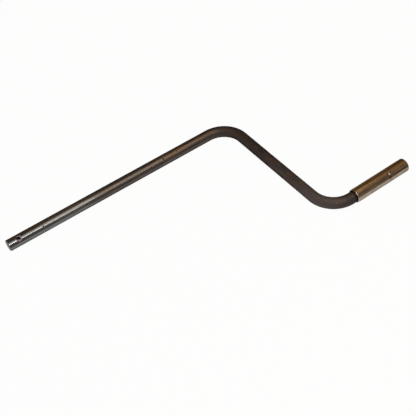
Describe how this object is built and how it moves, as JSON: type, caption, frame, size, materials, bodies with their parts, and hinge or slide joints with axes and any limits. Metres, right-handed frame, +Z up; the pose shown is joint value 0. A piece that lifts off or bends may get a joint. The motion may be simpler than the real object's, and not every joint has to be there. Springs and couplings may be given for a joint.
{
  "type": "crank handle",
  "caption": "Z-bent round bar hand crank with a cross-drilled drive end and a loose tubular grip sleeve kept by punched dimples in a turned groove.",
  "frame": {"origin": "where the cross hole's axis meets the drive shaft's axis", "axes": "+X along the shaft towards the first bend, -Y the way the crank throws, +Z up from the surface that the crank lies on"},
  "size_m": [0.4859, 0.2397, 0.019],
  "materials": {
    "oiled_steel_bar": "dark oiled mill finish with a brown patina, paler and worn at the drive end",
    "bronzed_tube": "golden-brown, semi-gloss, worn"
  },
  "bodies": {
    "crank": {"crank_rod": "oiled_steel_bar"},
    "grip": {"grip_sleeve": "bronzed_tube"}
  },
  "joints": [
    {"name": "grip_spin", "type": "hinge", "parent": "crank", "child": "grip", "pos_m": [0.42502, -0.22224, 0.00159], "axis": [1, 0, 0], "continuous": true}
  ]
}
